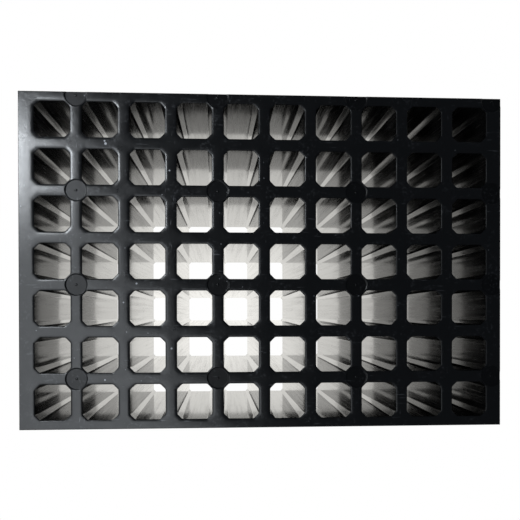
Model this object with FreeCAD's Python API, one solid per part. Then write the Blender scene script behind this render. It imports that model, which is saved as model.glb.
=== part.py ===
"""A deep seedling tray: rows of tapered, open-bottomed cells that hang from one moulded deck."""

import FreeCAD
import Part
import math
import os

# layout of the cells
columns = 10
rows = 7
pitch = 38.0
height = 120.0

# deck around and between the cells
side_border = 7.5
end_border = 2.9
deck = 2.0
rib_top = 3.9
skirt_depth = 14.0
skirt_wall = 1.6

# one cell, from its rounded lip down to its open foot
wall = 1.2
lip_run = 2.35
lip_drop = 2.0
lip_steps = 3
draft_run = 2.7
corner_cut = 4.4

# round gate pads, sunk into the deck where four cells meet
pad_radius = 7.9
pad_slope = 1.5
pad_drop = 0.9
pad_columns = 3
pad_rows = 2
gate_radius = 0.9
gate_height = 0.5
pad_sides = 20
gate_sides = 8

length = columns * pitch + 2 * side_border
width = rows * pitch + 2 * end_border
mouth = pitch - rib_top
lip = mouth - 2 * lip_run
foot = lip - 2 * draft_run
underside = height - deck
# the cut that keeps the wall's thickness at the corners, outside a hollow with the corner cut
outer_cut = corner_cut + wall * (2 - math.sqrt(2))


def square_ring(across, cut, level):
    """The corners of a square with cut corners."""
    half = across / 2
    points = []
    for turn in range(4):
        for y in (cut - half, half - cut):
            angle = turn * math.pi / 2
            points.append(FreeCAD.Vector(
                half * math.cos(angle) - y * math.sin(angle),
                half * math.sin(angle) + y * math.cos(angle),
                level,
            ))
    return points


def round_ring(radius, level, sides):
    """Points on a circle around the axis."""
    points = []
    for i in range(sides):
        angle = (i + 0.5) * 2 * math.pi / sides
        points.append(FreeCAD.Vector(radius * math.cos(angle), radius * math.sin(angle), level))
    return points


def flat_face(points):
    """The plane face with these corners."""
    return Part.Face(Part.makePolygon(points + points[:1]))


def tapered(rings):
    """A solid with plane sides that runs straight from each ring of corners to the next."""
    faces = [flat_face(rings[0]), flat_face(rings[-1])]
    for upper, lower in zip(rings, rings[1:]):
        for i in range(len(upper)):
            faces.append(flat_face([upper[i - 1], upper[i], lower[i], lower[i - 1]]))
    return Part.makeSolid(Part.makeShell(faces))


def copies(shape, places):
    """The shape at each (x, y) place."""
    placed = []
    for x, y in places:
        copy = shape.copy()
        copy.translate(FreeCAD.Vector(x, y, 0))
        placed.append(copy)
    return placed


def block(x_size, y_size, bottom, top):
    """A box centred on the tray's axis."""
    corner = FreeCAD.Vector(-x_size / 2, -y_size / 2, bottom)
    return Part.makeBox(x_size, y_size, top - bottom, corner)


def column_line(index):
    """Where the line on the left of this column lies; the last one is the tray's right-hand line."""
    return (index - columns / 2) * pitch


def row_line(index):
    """Where the line behind this row lies, counted from the back of the tray."""
    return (rows / 2 - index) * pitch


centres = []
for column in range(columns):
    for row in range(rows):
        centres.append((column_line(column + 0.5), row_line(row + 0.5)))

pads = []
for column in range(1, columns + 1, pad_columns):
    for row in range(0, rows, pad_rows):
        pads.append((column_line(column), row_line(row)))

# the lip is a quarter of an ellipse in flat steps, and the first step is drawn out above the deck
lip_points = []
for step in range(1, lip_steps + 1):
    angle = step / lip_steps * math.pi / 2
    lip_points.append((mouth - 2 * lip_run * math.sin(angle), lip_drop * (1 - math.cos(angle))))
first_across, first_depth = lip_points[0]
hollow = tapered(
    [square_ring(2 * mouth - first_across, corner_cut, height + first_depth)]
    + [square_ring(across, corner_cut, height - depth) for across, depth in lip_points]
    + [square_ring(foot, corner_cut, 0)]
)
sleeve = tapered([
    square_ring(lip + 2 * wall, outer_cut, height - deck / 2),
    square_ring(foot + 2 * wall, outer_cut, 0),
])

frame = block(length, width, height - skirt_depth, height).cut(
    block(length - 2 * skirt_wall, width - 2 * skirt_wall, height - skirt_depth, underside)
)

# under each sunk pad the deck keeps its thickness, and the stub of the gate stands on the pad
footprint = block(length, width, 0, height)
pad_back = tapered([
    round_ring(pad_radius + pad_slope, height - deck / 2, pad_sides),
    round_ring(pad_radius + pad_slope, underside - pad_drop, pad_sides),
])
backs = [back.common(footprint) for back in copies(pad_back, pads)]
recess = tapered([
    round_ring(pad_radius + pad_slope, height, pad_sides),
    round_ring(pad_radius, height - pad_drop, pad_sides),
]).cut(tapered([
    round_ring(gate_radius, height - pad_drop + gate_height, gate_sides),
    round_ring(gate_radius, height - pad_drop, gate_sides),
]))

tray = frame.fuse(copies(sleeve, centres) + backs)
tray = tray.cut(copies(hollow, centres) + copies(recess, pads))

os.makedirs("parts", exist_ok=True)
tray.exportStep("parts/seedling_tray.step")
print("solids", len(tray.Solids), "faces", len(tray.Faces), "valid", tray.isValid())
print("volume cm3", round(tray.Volume / 1000, 1))
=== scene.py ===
"""A deep seedling tray of black plastic on a white table, seen from straight above."""

import math

import bmesh
import bpy
from mathutils import Euler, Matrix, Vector


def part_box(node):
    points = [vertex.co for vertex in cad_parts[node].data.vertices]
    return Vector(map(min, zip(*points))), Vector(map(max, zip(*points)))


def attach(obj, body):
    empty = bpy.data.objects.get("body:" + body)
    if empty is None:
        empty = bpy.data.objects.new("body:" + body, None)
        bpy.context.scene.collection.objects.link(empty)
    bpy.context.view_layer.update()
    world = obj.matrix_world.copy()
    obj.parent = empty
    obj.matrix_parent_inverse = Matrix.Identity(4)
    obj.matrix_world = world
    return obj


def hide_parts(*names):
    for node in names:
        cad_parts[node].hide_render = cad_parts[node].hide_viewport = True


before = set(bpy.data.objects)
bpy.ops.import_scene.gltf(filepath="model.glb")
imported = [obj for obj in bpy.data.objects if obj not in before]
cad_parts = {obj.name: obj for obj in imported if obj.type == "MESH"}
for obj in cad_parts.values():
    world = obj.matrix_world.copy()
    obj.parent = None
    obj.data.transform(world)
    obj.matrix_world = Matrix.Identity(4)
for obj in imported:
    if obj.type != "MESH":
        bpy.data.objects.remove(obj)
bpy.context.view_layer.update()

MM = 0.001

# layout of the tray, with its borders taken from the CAD solid
low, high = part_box("seedling_tray")
columns = 10
rows = 7
pitch = 38.0 * MM
top = high[2]
side_border = (high[0] - low[0] - columns * pitch) / 2
end_border = (high[1] - low[1] - rows * pitch) / 2

# sizes shared with the CAD solid
deck = 2.0 * MM
rib_top = 3.9 * MM
skirt_depth = 14.0 * MM
skirt_wall = 1.6 * MM
wall = 1.2 * MM
lip_run = 2.35 * MM
draft_run = 2.7 * MM
corner_cut = 4.4 * MM
pad_radius = 7.9 * MM
pad_slope = 1.5 * MM
pad_drop = 0.9 * MM
pad_columns = 3
pad_rows = 2
gate_radius = 0.9 * MM
gate_height = 0.5 * MM

# the lip, which the photo shows wider and flatter than the CAD solid has it
lip_swell = 0.4 * MM
lip_sink = 1.1 * MM

# the cut of a cell's corners, which shrinks on the way down
lip_cut = 4.2 * MM
throat_cut = 3.8 * MM
foot_cut = 2.1 * MM

# softness of the moulding
crown = 0.04 * MM
edge_round = 0.8 * MM
foot_round = 0.4 * MM
mouth_corner_round = 5.0 * MM
lip_corner_round = 2.4 * MM
wall_corner_round = 0.7 * MM
throat_depth = 10.0 * MM
neck_flare = 2.0 * MM
gate_tip_radius = 0.3 * MM
gate_foot_radius = 1.08 * MM

# steps in the curves
corner_steps = 4
lip_steps = 6
round_steps = 3
pad_sides = 64
pad_steps = 6

# points of the mesh nearer than the first lie on one line, and nearer than the second are made one
line_gap = 0.001 * MM
weld_gap = 0.002 * MM

# the least upward part of its normal that a face in a pad has
pad_face_up = 0.2

mouth_half = (pitch - rib_top) / 2
lip_half = mouth_half - lip_run
foot_half = lip_half - draft_run
field_x = columns * pitch / 2
field_y = rows * pitch / 2
pad_outer = pad_radius + pad_slope
# a sleeve's own corner cut is this much longer than its hollow's, so that the wall stays even
cut_growth = wall * (2 - math.sqrt(2))

# material slots of the tray
DECK = 0
WALL = 1
CORNER = 2
PAD = 3

# slots around one quarter of a cell, where the two middle faces are the cut corner
plain_side = [DECK]
wall_side = [WALL] * (corner_steps - 1) + [CORNER] * 2 + [WALL] * corner_steps

# colours of the plastic, and of the dust and the dry film on it
deck_black = (0.0032, 0.0034, 0.0037, 1.0)
dust_grey = (0.30, 0.31, 0.33, 1.0)
wall_black = (0.010, 0.0098, 0.0093, 1.0)
film_brown = (0.030, 0.027, 0.024, 1.0)

# how much of the dust's colour each kind of wear takes
scuff_share = 0.3
speck_share = 0.9
haze_share = 0.12

# how much rougher the plastic is under dust and under film
dust_roughness = 0.2
film_roughness = 0.10

# depth of the relief that the materials draw
deck_relief = 0.12 * MM
wall_relief = 0.10 * MM

# flakes of dust on the deck where the photo shows them: x, y and radius in millimetres
dust_flakes = [
    (-128.1, 94.4, 1.3), (-128.9, 96.6, 0.9), (-145.0, 133.0, 1.2), (-145.6, 130.4, 1.0),
    (-77.0, 73.3, 0.9), (-75.7, -70.8, 1.0), (-103.7, -18.1, 1.0), (-129.2, -95.9, 0.9),
    (-114.2, -33.4, 0.8), (77.6, -27.8, 0.8),
]

# the table: its half width, and the white that the plastic mirrors
table_half = 4.0
white = (1.0, 1.0, 1.0, 1.0)
table_grey = (0.75, 0.75, 0.74, 1.0)
mirrored_white = (1.0, 0.985, 0.94, 1.0)
# each further mirror takes more of an image away, and it fades out between these counts of them
fade_start = 1.6
fade_end = 3.2

# daylight from the left
room_colour = (0.75, 0.85, 1.0, 1.0)
room_strength = 0.10
lamp_colour = (0.90, 0.95, 1.0)
lamp_spread = math.radians(110.0)

# the photograph's camera, from the places of the cells in the picture; focal length and
# principal point are in pixels
picture_size = 520.0
focal_length = 460.0
principal_across = 237.9
principal_down = 315.3
camera_place = (-36.72 * MM, -41.71 * MM, 494.69 * MM)
camera_turn = (-0.0059, -0.0398, -0.0018)
sensor_width = 36.0
nearest_seen = 10.0 * MM


def cell_ring(half, cut=corner_cut, rounding=wall_corner_round):
    """Points around a cell at one level: a square with cut and rounded corners."""
    centre_x = half - rounding
    centre_y = half - cut - rounding * math.tan(math.pi / 8)
    side = []
    for step in range(corner_steps):
        angle = step / (corner_steps - 1) * math.pi / 4
        side.append((centre_x + rounding * math.cos(angle), centre_y + rounding * math.sin(angle)))
    quarter = side + [(half - cut / 2, half - cut / 2)] + [(y, x) for x, y in reversed(side)]
    points = []
    for _ in range(4):
        points += quarter
        quarter = [(-y, x) for x, y in quarter]
    return points


def tile_ring():
    """Points around the square tile that a cell takes up, one for each point of a cell ring."""
    half = pitch / 2
    points = []
    for x, y in cell_ring(mouth_half, rounding=mouth_corner_round):
        if abs(abs(x) - abs(y)) < line_gap:
            points.append((math.copysign(half, x), math.copysign(half, y)))
        elif abs(x) > abs(y):
            points.append((math.copysign(half, x), y))
        else:
            points.append((x, math.copysign(half, y)))
    return points


def share_down(depth):
    """How far a depth lies from the bottom of the lip, 0, to the foot, 1."""
    return (depth - lip_sink) / (top - lip_sink)


def inside_half(depth):
    """Half the width of the hollow at a depth below the deck."""
    down = share_down(depth)
    return (lip_half - lip_swell) * (1 - down) + foot_half * down


def inside_cut(depth):
    """The cut of the hollow's corners at a depth below the deck."""
    down = share_down(depth)
    return throat_cut * (1 - down) + foot_cut * down


def lip_rings():
    """The rings of the rolled lip, a quarter of an ellipse."""
    rings = []
    for step in range(1, lip_steps + 1):
        share = step / lip_steps
        half = mouth_half - (lip_run + lip_swell) * math.sin(share * math.pi / 2)
        depth = crown + (lip_sink - crown) * (1 - math.cos(share * math.pi / 2))
        rounding = mouth_corner_round + (lip_corner_round - mouth_corner_round) * share
        cut = corner_cut + (lip_cut - corner_cut) * share
        rings.append((cell_ring(half, cut, rounding), depth, plain_side))
    return rings


def foot_rings():
    """The rings around the open foot, from the hollow's wall to the sleeve's outside."""
    rings = []
    inner = inside_half(top - foot_round) + foot_round
    outer = inner + wall - 2 * foot_round
    for step in range(1, round_steps + 1):
        angle = step / round_steps * math.pi / 2
        half = inner - foot_round * math.cos(angle)
        depth = top - foot_round * (1 - math.sin(angle))
        rings.append((cell_ring(half, foot_cut), depth, plain_side))
    for step in range(round_steps + 1):
        angle = step / round_steps * math.pi / 2
        half = outer + foot_round * math.sin(angle)
        depth = top - foot_round * (1 - math.cos(angle))
        rings.append((cell_ring(half, foot_cut + cut_growth), depth, plain_side))
    return rings


def cell_section():
    """(points, depth, slots) for each ring of one tile, down a cell, round its foot and back up."""
    tile = tile_ring()
    mouth = cell_ring(mouth_half, rounding=mouth_corner_round)
    middle = [((a[0] + b[0]) / 2, (a[1] + b[1]) / 2) for a, b in zip(tile, mouth)]
    rings = [(tile, 0.0, plain_side), (middle, crown / 4, plain_side), (mouth, crown, plain_side)]
    rings += lip_rings()
    levels = [throat_depth, top / 2, top - foot_round]
    for depth in levels:
        rings.append((cell_ring(inside_half(depth), inside_cut(depth)), depth, wall_side))
    rings += foot_rings()
    for depth in reversed(levels[:-1]):
        outside = cell_ring(inside_half(depth) + wall, inside_cut(depth) + cut_growth)
        rings.append((outside, depth, plain_side))
    neck = inside_half(deck) + wall
    neck_cut = inside_cut(deck) + cut_growth
    rings.append((cell_ring(neck + neck_flare / 4, neck_cut), deck + neck_flare / 4, plain_side))
    rings.append((cell_ring(neck + neck_flare, neck_cut), deck, plain_side))
    rings.append((tile, deck, plain_side))
    return rings


def rim_section():
    """(outward along x, outward along y, depth) of each ring from the cells over the rim and back."""
    rings = [(0.0, 0.0, 0.0)]
    for step in range(round_steps + 1):
        angle = step / round_steps * math.pi / 2
        inset = edge_round * (1 - math.sin(angle))
        depth = edge_round * (1 - math.cos(angle))
        rings.append((side_border - inset, end_border - inset, depth))
    rings.append((side_border, end_border, skirt_depth - foot_round))
    rings.append((side_border - foot_round, end_border - foot_round, skirt_depth))
    rings.append((side_border - skirt_wall, end_border - skirt_wall, skirt_depth))
    rings.append((side_border - skirt_wall, end_border - skirt_wall, deck))
    rings.append((0.0, 0.0, deck))
    return rings


def field_edge():
    """Points round the field of cells, counter-clockwise, where the tiles' own points lie."""
    steps = sorted({round(x, 9) for x, y in tile_ring() if y < -pitch / 2 + line_gap})
    along_x = [-field_x + pitch * (column + 0.5) + x for column in range(columns) for x in steps[:-1]]
    along_y = [-field_y + pitch * (row + 0.5) + y for row in range(rows) for y in steps[:-1]]
    points = [(x, -field_y) for x in along_x]
    points += [(field_x, y) for y in along_y]
    points += [(-x, field_y) for x in along_x]
    points += [(-field_x, -y) for y in along_y]
    return points


class Skin:
    """Vertices and quads, gathered ring by ring."""

    def __init__(self):
        self.points = []
        self.faces = []
        self.slots = []

    def ring(self, points, level):
        """Adds the points at one level and gives back their indices."""
        start = len(self.points)
        self.points += [(x, y, level) for x, y in points]
        return list(range(start, len(self.points)))

    def band(self, first, second, slots):
        """Quads between two rings, each with its slot.

        They face out where the rings run counter-clockwise and the second lies further in or down.
        """
        for i in range(len(first)):
            j = (i + 1) % len(first)
            self.faces.append((first[i], first[j], second[j], second[i]))
            self.slots.append(slots[i % len(slots)])


def build_skin():
    """The deck with all its cells, then the rim around them."""
    skin = Skin()
    section = cell_section()
    for column in range(columns):
        for row in range(rows):
            centre_x = -field_x + pitch * (column + 0.5)
            centre_y = -field_y + pitch * (row + 0.5)
            previous = None
            for points, depth, slots in section:
                ring = skin.ring([(centre_x + x, centre_y + y) for x, y in points], top - depth)
                if previous:
                    skin.band(previous, ring, slots)
                previous = ring
    edge = field_edge()
    previous = None
    for out_x, out_y, depth in rim_section():
        points = []
        for x, y in edge:
            on_side = abs(abs(x) - field_x) < line_gap
            on_end = abs(abs(y) - field_y) < line_gap
            points.append((
                x + math.copysign(out_x, x) * on_side,
                y + math.copysign(out_y, y) * on_end,
            ))
        ring = skin.ring(points, top - depth)
        if previous:
            skin.band(ring, previous, plain_side)
        previous = ring
    return skin


def as_object(name, points, faces):
    """An object with these faces."""
    mesh = bpy.data.meshes.new(name)
    mesh.from_pydata(points, [], faces)
    obj = bpy.data.objects.new(name, mesh)
    bpy.context.collection.objects.link(obj)
    return obj


def weld(mesh):
    """Makes points that lie on one another one."""
    work = bmesh.new()
    work.from_mesh(mesh)
    bmesh.ops.remove_doubles(work, verts=work.verts, dist=weld_gap)
    work.to_mesh(mesh)
    work.free()


def pad_places():
    """Where the round pads lie: on every third line between columns and every second between rows."""
    places = []
    for column in range(1, columns + 1, pad_columns):
        for row in range(0, rows, pad_rows):
            places.append((column * pitch - field_x, field_y - row * pitch))
    return places


def lathes(name, profile, limit=None):
    """One object that holds a turned solid at each pad; limit keeps its points inside the rim."""
    points = []
    faces = []
    for centre_x, centre_y in pad_places():
        start = len(points)
        for radius, level in profile:
            for side in range(pad_sides):
                angle = 2 * math.pi * (side + 0.5) / pad_sides
                x = centre_x + radius * math.cos(angle)
                y = centre_y + radius * math.sin(angle)
                if limit:
                    x = max(-limit[0], min(limit[0], x))
                    y = max(-limit[1], min(limit[1], y))
                points.append((x, y, level))
        for i in range(len(profile) - 1):
            for side in range(pad_sides):
                a = start + i * pad_sides + side
                b = start + i * pad_sides + (side + 1) % pad_sides
                faces.append((a, b, b + pad_sides, a + pad_sides))
        faces.append(tuple(range(start + pad_sides - 1, start - 1, -1)))
        last = start + (len(profile) - 1) * pad_sides
        faces.append(tuple(range(last, last + pad_sides)))
    return as_object(name, points, faces)


def pad_backs():
    """Discs that keep the deck's thickness under the sunk pads."""
    limit = (field_x + side_border - skirt_wall / 2, field_y + end_border - skirt_wall / 2)
    bottom = top - deck - pad_drop
    profile = [
        (pad_outer - edge_round, bottom),
        (pad_outer, bottom + edge_round),
        (pad_outer, top - deck / 2),
    ]
    return lathes("pad_backs", profile, limit)


def pad_recesses():
    """What is cut out above the pads: the stub of the gate stays, and the edge rises in an S."""
    floor_level = top - pad_drop
    profile = [
        (gate_tip_radius, floor_level + gate_height),
        (gate_radius, floor_level + gate_height / 2),
        (gate_foot_radius, floor_level),
    ]
    for step in range(pad_steps):
        share = step / pad_steps
        rise = pad_drop * share * share * (3 - 2 * share)
        profile.append((pad_radius + pad_slope * share, floor_level + rise))
    profile += [(pad_outer, top), (pad_outer + pad_drop, top + pad_drop)]
    return lathes("pad_recesses", profile)


def combine(obj, tool, operation):
    """Joins the tool to the object or cuts it away, then removes the tool."""
    modifier = obj.modifiers.new(operation, "BOOLEAN")
    modifier.operation = operation
    modifier.solver = "EXACT"
    modifier.object = tool
    evaluated = obj.evaluated_get(bpy.context.evaluated_depsgraph_get())
    shape = bpy.data.meshes.new_from_object(evaluated)
    obj.modifiers.clear()
    obj.data = shape
    bpy.data.objects.remove(tool)


def is_pad_face(face):
    """Whether a face of the finished tray looks up from the bottom or the slope of a pad."""
    x, y, z = face.center
    sunk = top - deck / 2 < z < top - pad_drop / 4
    if not sunk or face.normal.z < pad_face_up:
        return False
    return any(math.hypot(x - pad_x, y - pad_y) < pad_outer for pad_x, pad_y in pad_places())


def build_tray(materials):
    """The whole tray, with its materials in the order of the slots."""
    skin = build_skin()
    tray = as_object("tray", skin.points, skin.faces)
    tray.data.polygons.foreach_set("material_index", skin.slots)
    weld(tray.data)
    for material in materials:
        tray.data.materials.append(material)
    combine(tray, pad_backs(), "UNION")
    combine(tray, pad_recesses(), "DIFFERENCE")
    for face in tray.data.polygons:
        if is_pad_face(face):
            face.material_index = PAD
    return tray


def shade(obj, sharp_degrees):
    """Smooth shading with edges above this angle kept sharp, and normals weighted by face area."""
    obj.data.polygons.foreach_set("use_smooth", [True] * len(obj.data.polygons))
    obj.data.set_sharp_from_angle(angle=math.radians(sharp_degrees))
    modifier = obj.modifiers.new("face_weights", "WEIGHTED_NORMAL")
    modifier.keep_sharp = True


class Nodes:
    """Short ways to add and join the nodes of one material."""

    def __init__(self, name):
        self.material = bpy.data.materials.new(name)
        self.material.use_nodes = True
        self.tree = self.material.node_tree
        self.tree.nodes.clear()
        self.output = self.add("ShaderNodeOutputMaterial")

    def add(self, kind, values=None, **settings):
        """A node with these settings; a value that is a socket is linked, and any other is set."""
        node = self.tree.nodes.new(kind)
        for key, value in settings.items():
            setattr(node, key, value)
        for key, value in (values or {}).items():
            if isinstance(value, bpy.types.NodeSocket):
                self.tree.links.new(value, node.inputs[key])
            else:
                node.inputs[key].default_value = value
        return node

    def place(self):
        """Object coordinates, in metres."""
        return self.add("ShaderNodeTexCoord").outputs["Object"]

    def turned(self, place, scales, turn):
        """A place scaled along x, y and z, then turned about z."""
        node = self.add("ShaderNodeMapping", {
            "Vector": place, "Scale": scales, "Rotation": (0.0, 0.0, turn),
        })
        return node.outputs["Vector"]

    def noise(self, place, scale, detail=2.0, roughness=0.5):
        """Even noise from 0 to 1."""
        node = self.add("ShaderNodeTexNoise", {
            "Vector": place, "Scale": scale, "Detail": detail, "Roughness": roughness,
        })
        return node.outputs["Fac"]

    def streaks(self, place, scales, turn=0.0, detail=2.0, roughness=0.5):
        """Noise that is drawn out along the axis with the least scale."""
        return self.noise(self.turned(place, scales, turn), 1.0, detail, roughness)

    def ramp(self, value, start, end, low_value=0.0, high_value=1.0):
        """A smooth step from the low value at the start to the high value at the end."""
        node = self.add("ShaderNodeMapRange", {
            "Value": value, "From Min": start, "From Max": end,
            "To Min": low_value, "To Max": high_value,
        }, interpolation_type="SMOOTHSTEP")
        return node.outputs["Result"]

    def math(self, operation, first, second):
        """A sum, product or maximum of two values."""
        return self.add("ShaderNodeMath", {0: first, 1: second}, operation=operation).outputs[0]

    def most(self, *values):
        """The greatest of some values."""
        greatest = values[0]
        for value in values[1:]:
            greatest = self.math("MAXIMUM", greatest, value)
        return greatest

    def blend(self, amount, first, second):
        """A colour between the first, at 0, and the second, at 1."""
        node = self.add("ShaderNodeMix", {
            "Factor": amount, "A": first, "B": second,
        }, data_type="RGBA")
        return node.outputs["Result"]

    def finish(self, shader):
        """Shows the shader on the surface and gives the material back."""
        self.tree.links.new(shader.outputs[0], self.output.inputs["Surface"])
        return self.material


def deck_wear(nodes, place):
    """Scuffs, a haze of dust and single specks and flakes, on the surfaces that face up."""
    scuffs = nodes.math(
        "MULTIPLY",
        nodes.ramp(nodes.streaks(place, (60.0, 900.0, 60.0), turn=0.5), 0.66, 0.74),
        nodes.ramp(nodes.noise(place, scale=55.0), 0.5, 0.62),
    )
    cross_patches = nodes.noise(nodes.turned(place, (1.0, 1.0, 1.0), turn=1.0), scale=48.0)
    cross_scuffs = nodes.math(
        "MULTIPLY",
        nodes.ramp(nodes.streaks(place, (1100.0, 90.0, 60.0), turn=-0.2), 0.68, 0.76),
        nodes.ramp(cross_patches, 0.52, 0.64),
    )
    dots = nodes.add("ShaderNodeTexVoronoi", {"Vector": place, "Scale": 170.0}, feature="F1").outputs
    chance = nodes.add("ShaderNodeSeparateColor", {"Color": dots["Color"]}).outputs["Red"]
    specks = nodes.math(
        "MULTIPLY",
        nodes.ramp(dots["Distance"], 0.075, 0.045),
        nodes.ramp(chance, 0.72, 0.76),
    )
    haze = nodes.math(
        "MULTIPLY",
        nodes.ramp(nodes.noise(place, scale=420.0, detail=3.0, roughness=0.6), 0.52, 0.72),
        nodes.ramp(nodes.noise(place, scale=60.0), 0.45, 0.65),
    )
    wear = nodes.most(
        nodes.math("MULTIPLY", nodes.most(scuffs, cross_scuffs), scuff_share),
        nodes.math("MULTIPLY", specks, speck_share),
        nodes.math("MULTIPLY", haze, haze_share),
    )
    for x, y, radius in dust_flakes:
        distance = nodes.add("ShaderNodeVectorMath", {
            0: place, 1: (x * MM, y * MM, top),
        }, operation="DISTANCE").outputs["Value"]
        wear = nodes.most(wear, nodes.ramp(distance, radius * MM, radius * MM / 2))
    normal = nodes.add("ShaderNodeNewGeometry").outputs["Normal"]
    upward = nodes.add("ShaderNodeSeparateXYZ", {"Vector": normal}).outputs["Z"]
    return nodes.math("MULTIPLY", wear, nodes.ramp(upward, 0.75, 0.95))


def deck_material(name, gloss_range, index):
    """Moulded plastic with a satin grain, scuffs and dust."""
    nodes = Nodes(name)
    place = nodes.place()
    grain = nodes.noise(place, scale=2600.0, roughness=0.6)
    mottle = nodes.noise(place, scale=75.0, detail=3.0, roughness=0.6)
    ripple = nodes.noise(place, scale=260.0)
    wear = deck_wear(nodes, place)
    gloss = nodes.math(
        "ADD",
        nodes.ramp(mottle, 0.3, 0.7, *gloss_range),
        nodes.math("MULTIPLY", wear, dust_roughness),
    )
    waves = nodes.math(
        "ADD",
        nodes.math("MULTIPLY", ripple, 1.2),
        nodes.math("MULTIPLY", mottle, 3.0),
    )
    relief = nodes.math("ADD", nodes.math("MULTIPLY", grain, 0.5), waves)
    bump = nodes.add("ShaderNodeBump", {
        "Height": relief, "Strength": 0.35, "Distance": deck_relief,
    })
    return nodes.finish(nodes.add("ShaderNodeBsdfPrincipled", {
        "Base Color": nodes.blend(wear, deck_black, dust_grey),
        "Roughness": gloss,
        "IOR": index,
        "Normal": bump.outputs["Normal"],
    }))


def wall_material(name, gloss_range, coat_roughness, index):
    """The smooth inside of the cells, drawn down in fine streaks, with a dry film in places."""
    nodes = Nodes(name)
    place = nodes.place()
    streak = nodes.streaks(place, (420.0, 420.0, 7.0), detail=3.0, roughness=0.55)
    wave = nodes.streaks(place, (70.0, 70.0, 9.0), detail=1.0, roughness=0.4)
    mark = nodes.streaks(place, (300.0, 300.0, 60.0), turn=0.3, detail=3.0, roughness=0.6)
    patch = nodes.noise(place, scale=38.0, detail=4.0, roughness=0.6)
    film = nodes.most(
        nodes.math("MULTIPLY", nodes.ramp(patch, 0.45, 0.7), 0.5),
        nodes.ramp(mark, 0.66, 0.76),
    )
    gloss = nodes.math(
        "ADD",
        nodes.ramp(streak, 0.3, 0.7, *gloss_range),
        nodes.math("MULTIPLY", film, film_roughness),
    )
    relief = nodes.math("ADD", nodes.math("MULTIPLY", streak, 0.2), wave)
    bump = nodes.add("ShaderNodeBump", {
        "Height": relief, "Strength": 0.4, "Distance": wall_relief,
    })
    return nodes.finish(nodes.add("ShaderNodeBsdfPrincipled", {
        "Base Color": nodes.blend(film, wall_black, film_brown),
        "Roughness": gloss,
        "IOR": index,
        "Specular IOR Level": 1.0,
        "Coat Weight": 1.0,
        "Coat Roughness": coat_roughness,
        "Coat IOR": index,
        "Normal": bump.outputs["Normal"],
    }))


def table_material():
    """White to the camera and in the plastic's mirror images, and matt where light falls on it."""
    nodes = Nodes("white_table")
    rays = nodes.add("ShaderNodeLightPath").outputs
    direct = nodes.most(rays["Is Camera Ray"], rays["Is Transmission Ray"])
    faded = nodes.ramp(rays["Glossy Depth"], fade_start, fade_end, 1.0, 0.0)
    mirrored = nodes.math("MULTIPLY", rays["Is Glossy Ray"], faded)
    glow = nodes.add("ShaderNodeEmission", {
        "Color": nodes.blend(rays["Is Glossy Ray"], white, mirrored_white),
        "Strength": nodes.most(direct, mirrored),
    })
    matt = nodes.add("ShaderNodeBsdfDiffuse", {"Color": table_grey})
    seen = nodes.most(direct, rays["Is Glossy Ray"])
    return nodes.finish(nodes.add("ShaderNodeMixShader", {
        0: seen, 1: matt.outputs[0], 2: glow.outputs[0],
    }))


def add_table():
    """A wide white table under the feet of the cells."""
    corners = [
        (-table_half, -table_half, 0.0), (table_half, -table_half, 0.0),
        (table_half, table_half, 0.0), (-table_half, table_half, 0.0),
    ]
    table = as_object("table", corners, [(0, 1, 2, 3)])
    table.data.materials.append(table_material())


def add_world():
    """White behind the object for the camera, and a dim room for the light."""
    world = bpy.data.worlds.new("room")
    bpy.context.scene.world = world
    world.use_nodes = True
    tree = world.node_tree
    tree.nodes.clear()
    rays = tree.nodes.new("ShaderNodeLightPath")
    room = tree.nodes.new("ShaderNodeBackground")
    room.inputs["Color"].default_value = room_colour
    room.inputs["Strength"].default_value = room_strength
    backdrop = tree.nodes.new("ShaderNodeBackground")
    backdrop.inputs["Color"].default_value = white
    mixed = tree.nodes.new("ShaderNodeMixShader")
    output = tree.nodes.new("ShaderNodeOutputWorld")
    tree.links.new(rays.outputs["Is Camera Ray"], mixed.inputs[0])
    tree.links.new(room.outputs[0], mixed.inputs[1])
    tree.links.new(backdrop.outputs[0], mixed.inputs[2])
    tree.links.new(mixed.outputs[0], output.inputs["Surface"])


def add_lamp(name, place, aim, width, length, radiance):
    """A soft panel of daylight that shines mostly straight ahead."""
    data = bpy.data.lights.new(name, "AREA")
    data.shape = "RECTANGLE"
    data.size = width
    data.size_y = length
    data.spread = lamp_spread
    data.energy = radiance * math.pi * width * length
    data.color = lamp_colour
    lamp = bpy.data.objects.new(name, data)
    lamp.location = place
    lamp.rotation_euler = (Vector(aim) - Vector(place)).to_track_quat("-Z", "Y").to_euler()
    bpy.context.collection.objects.link(lamp)


def add_camera():
    """The photograph's camera."""
    data = bpy.data.cameras.new("camera")
    data.sensor_width = sensor_width
    data.lens = focal_length / picture_size * sensor_width
    data.shift_x = (picture_size / 2 - principal_across) / picture_size
    data.shift_y = (principal_down - picture_size / 2) / picture_size
    data.clip_start = nearest_seen
    camera = bpy.data.objects.new("camera", data)
    camera.location = camera_place
    camera.rotation_euler = Euler(camera_turn)
    bpy.context.collection.objects.link(camera)
    bpy.context.scene.camera = camera


tray = build_tray([
    deck_material("black_plastic_deck", gloss_range=(0.27, 0.35), index=1.5),
    wall_material("black_plastic_wall", gloss_range=(0.10, 0.28), coat_roughness=0.09, index=2.0),
    wall_material("black_plastic_corner", gloss_range=(0.12, 0.24), coat_roughness=0.10, index=2.3),
    deck_material("black_plastic_pad", gloss_range=(0.34, 0.42), index=1.37),
])
shade(tray, sharp_degrees=32.0)
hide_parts("seedling_tray")
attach(tray, "root")

add_table()
add_world()
# a window at the upper left of the picture, and the pale side of the room at the lower left
add_lamp(
    "window", place=(-0.435, 0.193, 0.40), aim=(-0.36, 0.18, 0.12),
    width=0.094, length=0.26, radiance=18.0,
)
add_lamp(
    "room_side", place=(-0.27, -0.225, 0.40), aim=(-0.22, -0.20, 0.12),
    width=0.65, length=0.38, radiance=1.05,
)
add_camera()

bpy.context.scene.view_settings.view_transform = "Standard"
